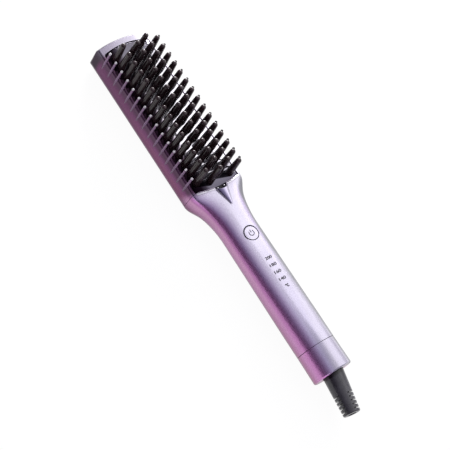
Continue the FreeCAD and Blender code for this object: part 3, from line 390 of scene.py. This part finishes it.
def flankPaintedShade(name):
    material, tree, shader = newFinish(name, Metallic=flankShadeLook["metallic"], Roughness=flankShadeLook["roughness"])
    share = addNode(tree, "ShaderNodeAttribute", attribute_name=flankShadeLook["share"]).outputs["Fac"]
    tree.links.new(addRamp(tree, share, flankShadeLook["paintedLight"]), shader.inputs["Base Color"])
    return material


finishes = {
    "pearl_shell": pearlLacquerWithPaintedShade("pearl_lacquer_painted_shade"),
    "tooth_plastic": moulded("black_nylon", "2b1e21", "3d2e31", roughness=0.20, grain=0.25, bump=0.03, spread=0.03,
                             Specular_IOR_Level=0.5),
    "plate_metal": silverPlate("silver_plate"),
    "heatproof_plastic": moulded("glass_filled_black", "131316", "1f1f23", roughness=0.5, grain=0.2, bump=0.15),
    "dark_trim": moulded("dark_trim_plastic", "0e0a14", "17111e", roughness=0.42, grain=0.2, bump=0.05,
                         Specular_IOR_Level=0.3),
    "boot_rubber": bootRubber("charcoal_rubber"),
    "lead_rubber": moulded("lead_silicone", "7a1d1c", "93302c", roughness=0.5, grain=0.2, bump=0.1),
    "heater_ceramic": moulded("white_alumina", "d9d5cc", "e8e5dd", roughness=0.55, grain=0.15, bump=0.15),
    "mica": moulded("pressed_mica", "a58f68", "c4b089", roughness=0.45, grain=0.5, bump=0.25),
    "steel": linedMetal("plain_steel", "8f8f93", "b3b3b7", roughness=0.32, line=0.1, bump=0.1),
    "brass": linedMetal("plain_brass", "a8823f", "cda65a", roughness=0.28, line=0.1, bump=0.08),
    "board": moulded("green_board", "0d4a26", "176a37", roughness=0.4, grain=0.3, bump=0.1),
    "mark_ink": moulded("grey_ink", "2a2530", "383240", roughness=0.5, grain=0.3, bump=0.03),
    "near_pin": pinLacquerPaintedLight("near_pin_painted_highlight", "near"),
    "far_pin": pinLacquerPaintedLight("far_pin_painted_shade", "far"),
    "hood_flank": flankPaintedShade("hood_painted_shade_lacquer"),
    "lip": moulded("lip_painted_highlight", "e4e0ec", "f2eff7", roughness=0.26, grain=0.22, bump=0.03, spread=0.05,
                   Metallic=0.5),
    "bright_steel": linedMetal("bright_steel", "dcdce2", "ffffff", roughness=0.22, line=0.1, bump=0.03),
    "clear_plastic": moulded("diffusing_plastic", "dedbd2", "f0eee8", roughness=0.35, grain=0.3, bump=0.05,
                             Subsurface_Weight=0.2),
}
for part in frame["record"]["subparts"]:
    cadMesh = nodes[part["node"]].data
    cadMesh.materials.clear()
    cadMesh.materials.append(finishes[part["material_slot"]])
print("finishes made:", len(finishes))

# Teeth: four columns of tapered fingers on the plate, every other column set on by a share of the pitch.
# Each column has its place across the brush, whether it is set on, and the height of its fingers
teeth = {"first": 16.2, "pitch": 7.968, "count": 15, "stagger": 0.42, "level": 25.0, "root": 3.1, "tip": 2.1,
         "sink": 0.8, "sides": 32, "steps": 10, "bowEnd": 84,
         "columns": {"teeth_outer_left": (-14.475, 0, 21.1), "teeth_inner_left": (-4.825, 1, 24.5),
                     "teeth_inner_right": (4.825, 0, 24.5), "teeth_outer_right": (14.475, 1, 21.1)}}


# Profile of a finger: a straight taper from root to the ball's equator, then a quarter circle up to the top
def fingerProfile(root, tip, height, sink):
    rise = np.linspace(0, height - tip, teeth["steps"])
    bow = np.radians(np.linspace(0, teeth["bowEnd"], teeth["steps"]))[1:]
    radius = np.concatenate([[root], root + (tip - root) * rise / (height - tip), tip * np.cos(bow)])
    level = np.concatenate([[-sink], rise, height - tip + tip * np.sin(bow)])
    return radius, level


order = np.arange(teeth["count"])
for name, (across, setOn, height) in teeth["columns"].items():
    radius, level = fingerProfile(teeth["root"], teeth["tip"], height, teeth["sink"])
    finger = lathe(radius, level + teeth["level"], teeth["sides"])
    along = teeth["first"] + teeth["pitch"] * (order + setOn * teeth["stagger"])
    fingers = copiesAt(finger, along, np.full(teeth["count"], across))
    column = makeTubes(name + "_fingers", fingers, "body", "tooth_plastic", "tooth_plastic")
    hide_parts(name)

# Side teeth: a slim pin with a ball on its end, and a rib that fades down the wall
pins = {"first": 15.2, "across": 22.53, "level": 25.5, "sides": 20,
        "heights": [-10.0, -7.5, -4.0, -0.5, 3.0, 6.5, 9.3], "radii": [0.42, 0.75, 0.95, 1.1, 1.04, 0.96, 0.9],
        "ball": 1.02, "top": 11.3, "bow": (-50, 82), "bowSteps": 12}
bow = np.radians(np.linspace(*pins["bow"], pins["bowSteps"]))
pinRadius = np.concatenate([pins["radii"], pins["ball"] * np.cos(bow)])
pinLevel = np.concatenate([pins["heights"], pins["top"] - pins["ball"] + pins["ball"] * np.sin(bow)])
pin = lathe(pinRadius, pinLevel + pins["level"], pins["sides"])
for name, side, finish in (("side_teeth_left", -1, "near_pin"), ("side_teeth_right", 1, "far_pin")):
    along = pins["first"] + teeth["pitch"] * order
    pinRow = copiesAt(pin, along, np.full(teeth["count"], side * pins["across"]))
    row = makeTubes(name + "_pins", pinRow, "body", "pearl_shell", finish)
    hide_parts(name)
print("teeth made")

# Plate: a slab with an arc across each end, rounded corners and a bevelled upper edge
plate = {"start": 9.5, "end": 134.8, "half": 20.6, "corner": 2.0, "headArch": 2.6, "tailArch": 2.2, "bottom": 22.0,
         "top": 25.0, "bevel": 0.2, "bevelKnee": 0.06, "sharp": 25, "archSteps": 33, "sideSteps": 49, "bendSteps": 9}


# Arc across an end, of radius (h h + a a) / 2a over half chord h and rise a; way is 1 at the head and -1 at the tail
def endArc(x, way, rise, chord):
    radius = (chord ** 2 + rise ** 2) / (2 * rise)
    reach = math.asin(chord / radius)
    swing = np.linspace(-reach, reach, plate["archSteps"]) * way
    return np.stack([x - way * rise + way * radius * (1 - np.cos(swing)), radius * np.sin(swing)], axis=-1)


# Quarter circle round a corner's centre from the first angle on, turning to the right, without its two ends
def cornerBend(x, y, radius, first):
    swing = np.radians(np.linspace(first, first - 90, plate["bendSteps"]))[1:-1]
    return np.stack([x + radius * np.cos(swing), y + radius * np.sin(swing)], axis=-1)


# Outline of straight sides, corners and end arcs, pulled in all round by shrink, as points in the order head end,
# far side, tail end, near side
def plateOutline(shrink):
    start, end = plate["start"] + shrink, plate["end"] - shrink
    half, corner = plate["half"] - shrink, plate["corner"] - shrink
    chord = half - corner
    run = np.linspace(start + corner, end - corner, plate["sideSteps"])
    far = np.stack([run, np.full_like(run, half)], axis=-1)
    near = np.stack([run[::-1], np.full_like(run, -half)], axis=-1)
    return np.concatenate([endArc(start, 1, plate["headArch"], chord),
                           cornerBend(start + corner, chord, corner, 180), far,
                           cornerBend(end - corner, chord, corner, 90),
                           endArc(end, -1, plate["tailArch"], chord),
                           cornerBend(end - corner, -chord, corner, 0), near,
                           cornerBend(start + corner, -chord, corner, -90)])


slabRings = []
for shrink, level in ((0.0, plate["bottom"]), (0.0, plate["top"] - plate["bevel"]),
                      (plate["bevelKnee"], plate["top"] - plate["bevelKnee"]), (plate["bevel"], plate["top"])):
    outline = plateOutline(shrink)
    slabRings.append(np.column_stack([headEnd + outline[:, 0], outline[:, 1], np.full(len(outline), level)]))
slab = makeTubes("plate_slab", np.stack(slabRings)[None], "body", "plate_metal", "plate_metal", plate["sharp"])
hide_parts("heating_plate")
print("plate made")

rayStart = 200.0  # a height above the whole brush


# Height of the outer surface of a CAD node over points in plan, by rays from above
def surfaceOf(name):
    mesh = nodes[name].data
    corners = [nodes[name].matrix_world @ v.co for v in mesh.vertices]
    tree = BVHTree.FromPolygons(corners, [list(face.vertices) for face in mesh.polygons])

    def height(x, y):
        found = tree.ray_cast(Vector((x * mm, y * mm, rayStart * mm)), Vector((0, 0, -1)))[0]
        return found.z / mm

    return np.vectorize(height)


# Printed marks: generic temperatures across the handle's crown, each reading towards +Y with its top to the head
marks = {"first": 201.6, "pitch": 6.03, "rise": 0.15, "proud": 0.9, "texts": ["200", "180", "160", "140", "\u00b0C"],
         "wide": [6.0, 6.0, 6.0, 6.0, 2.9], "tall": [2.4, 2.4, 2.4, 2.4, 2.5],
         "bold": [0.02, 0.02, 0.02, 0.02, 0.06], "block": 0.5, "weld": 1e-5}
crown = surfaceOf("handle_shell")


# A word as points and faces: the font's letters, thickened by bold and extruded, with their doubles merged
def letterBlock(word, bold):
    letters = bpy.data.curves.new("letters", "FONT")
    letters.body = word
    letters.extrude = marks["block"]
    letters.offset = bold
    holder = bpy.data.objects.new("letters", letters)
    bpy.context.scene.collection.objects.link(holder)
    bpy.context.view_layer.update()
    flat = bpy.data.meshes.new_from_object(holder.evaluated_get(bpy.context.evaluated_depsgraph_get()))
    bpy.data.objects.remove(holder)
    builder = bmesh.new()
    builder.from_mesh(flat)
    bmesh.ops.remove_doubles(builder, verts=builder.verts, dist=marks["weld"])
    points = np.array([v.co for v in builder.verts])
    faces = [tuple(v.index for v in f.verts) for f in builder.faces]
    builder.free()
    return points, faces


# Each word is stretched to its width and height, and laid on the crown with most of its thickness proud
for k, (word, wide, tall, bold) in enumerate(zip(marks["texts"], marks["wide"], marks["tall"], marks["bold"])):
    points, faces = letterBlock(word, bold)
    low, high = points.min(axis=0), points.max(axis=0)
    share = (points - low) / (high - low) - 0.5
    x = headEnd + marks["first"] + marks["pitch"] * k - share[:, 1] * tall
    y = share[:, 0] * wide
    z = crown(x, y) + (share[:, 2] - 0.5 + marks["proud"]) * marks["rise"]
    makePiece(f"mark_{k + 1}", np.column_stack([x, y, z]), faces, "body", "dark_trim", "mark_ink")

# Power symbol: an open ring and a bar towards the head, as flat bands on the button
symbol = {"centre": 179.7, "radius": 2.05, "width": 0.62, "thick": 0.07, "gap": 42.0, "barStart": 0.35, "barEnd": 2.75,
          "steps": 40}
top = surfaceOf("power_button")


# A flat band along a path in plan: across each path point run half the width to both sides, above and below the surface
def bandRings(path, width, thick):
    way = waysOf(path)
    aside = np.stack([-way[:, 1], way[:, 0]], axis=-1) * width / 2
    left, right = path - aside, path + aside
    edges = np.stack([left, right, right, left], axis=1)
    levels = top(edges[..., 0], edges[..., 1]) + np.array([thick, thick, -thick, -thick])
    return np.concatenate([edges, levels[..., None]], axis=-1)


turn = np.radians(np.linspace(180 - symbol["gap"], -180 + symbol["gap"], symbol["steps"]))
ringPath = np.stack([np.cos(turn), np.sin(turn)], axis=-1) * symbol["radius"]
barRun = -np.linspace(symbol["barStart"], symbol["barEnd"], symbol["steps"])
barPath = np.stack([barRun, np.zeros_like(barRun)], axis=-1)
bands = np.stack([bandRings(path + [headEnd + symbol["centre"], 0], symbol["width"], symbol["thick"])
                  for path in (ringPath, barPath)])
makeTubes("power_symbol", bands, "button", "dark_trim", "mark_ink")

# Ring round the button: a dark band that bridges the gap between cap and shell, partly the dark seal below and partly
# painted shade that widens the gap's dark line over the shell's edge; its height is the mean of the crown's heights
# before and behind the button at the same place across
ring = {"radius": 5.88, "width": 0.8, "rise": 0.06, "sink": 0.36, "clear": 8.5, "sides": 96}
turn = fullTurn(ring["sides"])
edges = []
for grow, lift in ((-0.5, ring["rise"]), (0.5, ring["rise"]), (0.5, -ring["sink"]), (-0.5, -ring["sink"])):
    reach = ring["radius"] + grow * ring["width"]
    x, y = headEnd + symbol["centre"] + reach * np.cos(turn), reach * np.sin(turn)
    middle = np.full_like(y, headEnd + symbol["centre"])
    z = (crown(middle - ring["clear"], y) + crown(middle + ring["clear"], y)) / 2 + lift
    edges.append(np.stack([x, y, z], axis=-1))
hoop = makeHoop("button_gap_shade", np.stack(edges, axis=1), "body", "dark_trim", "dark_trim")
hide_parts("button_ring")
print("marks made")

# Lip: a rounded bead along the neck's arched front edge, on either side of the outlet, in a pale finish that paints a
# highlight along the edge. The edge is an arc of radius (h h + a a) / 2a; the bead's radius falls as the square root of
# what is left of its length, down to endShare
lip = {"start": 135.4, "arch": 2.2, "half": 18.1, "inside": 5.9, "outside": 20.2, "radius": 1.25, "back": 1.15,
       "drop": 0.85, "steps": 40, "sides": 14, "taper": 12, "endShare": 0.3}
lipRadius = (lip["half"] ** 2 + lip["arch"] ** 2) / (2 * lip["arch"])
turn = fullTurn(lip["sides"])[None, :, None]
leftOver = np.linspace(0, 1, lip["steps"])[::-1]
slim = lip["radius"] * np.minimum(1, np.sqrt(leftOver * lip["taper"]) + lip["endShare"])
for name, side in (("left", -1), ("right", 1)):
    y = side * np.linspace(lip["inside"], lip["outside"], lip["steps"])
    x = headEnd + lip["start"] + lip["arch"] - lipRadius + np.sqrt(lipRadius ** 2 - y ** 2) + lip["back"]
    path = np.column_stack([x, y, crown(x, y) - lip["drop"]])
    way = waysOf(path)
    aside = np.cross(way, [0, 0, 1])
    aside /= np.linalg.norm(aside, axis=1, keepdims=True)
    over = np.cross(aside, way)
    rings = path[:, None] + slim[:, None, None] * (np.cos(turn) * aside[:, None] + np.sin(turn) * over[:, None])
    makeTubes("neck_lip_" + name, rings[None], "body", "pearl_shell", "lip")

# Flank of the hood: a skin laid on its near side to carry painted shade, darker at the foot and paling to the ridge;
# rows run along the hood and columns from foot to ridge, from the outlet's oval edge on; the lower half of each ring is
# sunk in the shell
flank = {"front": 137.6, "oval": (3.9, 5.6), "end": 153.4, "foot": (-5.3, -0.9), "ridge": (1.2, 0.2), "rise": 0.06,
         "sink": 0.25, "rows": 40, "columns": 24, "poleShare": 0.5}
along, across = np.linspace(0, 1, flank["rows"]), np.linspace(0, 1, flank["columns"])
foot, ridge = [np.interp(along, (0, 1), flank[key])[:, None] for key in ("foot", "ridge")]
y = foot + (ridge - foot) * across
start = flank["front"] + flank["oval"][0] * np.sqrt(1 - (y[0] / flank["oval"][1]) ** 2)
x = headEnd + start + (flank["end"] - start) * along[:, None]
z = crown(x, y)
upper = np.stack([x, y, z + flank["rise"]], axis=-1)
lower = np.stack([x, y, z - flank["sink"]], axis=-1)
skinRings = np.concatenate([upper, lower[:, ::-1]], axis=1)
skin = makeTubes("hood_flank", skinRings[None], "body", "pearl_shell", "hood_flank")
shares = np.tile(np.concatenate([across, across[::-1]]), flank["rows"])
spread = skin.data.attributes.new(flankShadeLook["share"], "FLOAT", "POINT")
spread.data.foreach_set("value", np.concatenate([shares, [flank["poleShare"]] * 2]))

# Emitter pins: two bright points with round tips that stand in the outlet
emitters = {"place": 138.8, "spread": 3.0, "radius": 0.9, "bottom": 20.0, "top": 28.5, "sides": 20, "bowEnd": 82,
            "bowSteps": 7}
bow = np.radians(np.linspace(0, emitters["bowEnd"], emitters["bowSteps"]))
tipRadius = np.concatenate([[emitters["radius"]], emitters["radius"] * np.cos(bow)])
tipLevel = np.concatenate([[emitters["bottom"]], emitters["top"] + emitters["radius"] * (np.sin(bow) - 1)])
emitter = lathe(tipRadius, tipLevel, emitters["sides"])
pair = copiesAt(emitter, np.full(2, emitters["place"]), emitters["spread"] * np.array([-1, 1]))
tips = makeTubes("emitter_pins", pair, "body", "steel", "bright_steel")
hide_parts("ion_emitters")
print("neck pieces made")

# Floor: a white sheet that camera, glossy and transmission rays see lit from itself, so that it stays white and
# keeps a soft shadow
sheet = {"half": 3000.0, "below": 0.05, "grey": 0.86, "glow": 1.03, "own": 0.93}
edge, level = sheet["half"] * mm, -sheet["below"] * mm
floorMesh = bpy.data.meshes.new("floor")
floorCorners = [(-edge, -edge, level), (edge, -edge, level), (edge, edge, level), (-edge, edge, level)]
floorMesh.from_pydata(floorCorners, [], [(0, 1, 2, 3)])
floor = bpy.data.objects.new("floor", floorMesh)
bpy.context.scene.collection.objects.link(floor)
floorFinish = bpy.data.materials.new("floor_paper")
floorFinish.use_nodes = True
paper = floorFinish.node_tree
paper.nodes.clear()


# One step of arithmetic on two numbers in the floor's tree
def floorStep(step, first, second):
    return addNode(paper, "ShaderNodeMath", {0: first, 1: second}, operation=step).outputs["Value"]


rays = addNode(paper, "ShaderNodeLightPath").outputs
seen = floorStep("MAXIMUM", rays["Is Camera Ray"], rays["Is Glossy Ray"])
seen = floorStep("MAXIMUM", seen, rays["Is Transmission Ray"])
dull = addNode(paper, "ShaderNodeBsdfDiffuse", {"Color": (sheet["grey"], sheet["grey"], sheet["grey"], 1)})
glow = addNode(paper, "ShaderNodeEmission", {"Color": (1, 1, 1, 1), "Strength": sheet["glow"]})
face = addNode(paper, "ShaderNodeMixShader", {0: floorStep("MULTIPLY", seen, sheet["own"]), 1: dull.outputs["BSDF"],
                                              2: glow.outputs["Emission"]})
addNode(paper, "ShaderNodeOutputMaterial", {"Surface": face.outputs["Shader"]})
floorMesh.materials.append(floorFinish)

# Lamps: square softboxes that look at the brush's middle, with their direction from it, distance and side in metres
# and power in watts
lamps = {"key": ((-0.2, 0.62, 0.76), 1.2, 1.1, 3.5), "far_rim": ((-0.75, 0.62, 0.3), 1.0, 0.4, 13.0)}
lampAim = Vector((0.0, 0.0, 20.0)) * mm
for name, (direction, distance, side, power) in lamps.items():
    lamp = bpy.data.lights.new(name, "AREA")
    lamp.shape = "SQUARE"
    lamp.size = side
    lamp.energy = power
    holder = bpy.data.objects.new(name, lamp)
    away = Vector(direction).normalized()
    holder.location = lampAim + away * distance
    holder.rotation_mode = "QUATERNION"
    holder.rotation_quaternion = (-away).to_track_quat("-Z", "Y")
    bpy.context.scene.collection.objects.link(holder)

# Sky: bright overhead and to the far side, dark low down on the near side; the brightness follows the direction's
# share along the sky's axis
sky = {"axis": (-0.1, 0.62, 0.78), "reach": (-0.35, 1.0), "strength": 1.0,
       "stops": [(0.0, "1d0f20"), (0.12, "27162c"), (0.34, "7d778a"), (0.58, "c3bfcc"), (0.85, "e6e4ec"),
                 (1.0, "f2f1f5")]}
world = bpy.data.worlds.new("studio")
world.use_nodes = True
heaven = world.node_tree
background = heaven.nodes["Background"]
toward = addNode(heaven, "ShaderNodeTexCoord").outputs["Generated"]
lean = addVector(heaven, "DOT_PRODUCT", toward, sky["axis"]).outputs["Value"]
skyTint = addRamp(heaven, addRange(heaven, lean, *sky["reach"]), sky["stops"])
heaven.links.new(skyTint, background.inputs["Color"])
background.inputs["Strength"].default_value = sky["strength"]
bpy.context.scene.world = world

# Camera at the photograph's angle: its axes in the brush's frame, and its place
view = {"right": (0.5385, 0.75765, 0.36878), "up": (-0.81993, 0.37026, 0.4366), "back": (0.19425, -0.53749, 0.8206),
        "place": (197.72, -556.37, 853.78), "lens": 112.5, "sensor": 36.0, "clip": (0.05, 20.0)}
cameraData = bpy.data.cameras.new("photo_view")
cameraData.lens = view["lens"]
cameraData.sensor_width = view["sensor"]
cameraData.clip_start, cameraData.clip_end = view["clip"]
camera = bpy.data.objects.new("photo_view", cameraData)
bpy.context.scene.collection.objects.link(camera)
axes = Matrix((view["right"], view["up"], view["back"])).transposed().to_4x4()
camera.matrix_world = Matrix.Translation(Vector(view["place"]) * mm) @ axes
bpy.context.scene.camera = camera
bpy.context.scene.view_settings.view_transform = "Standard"
print("stage set")
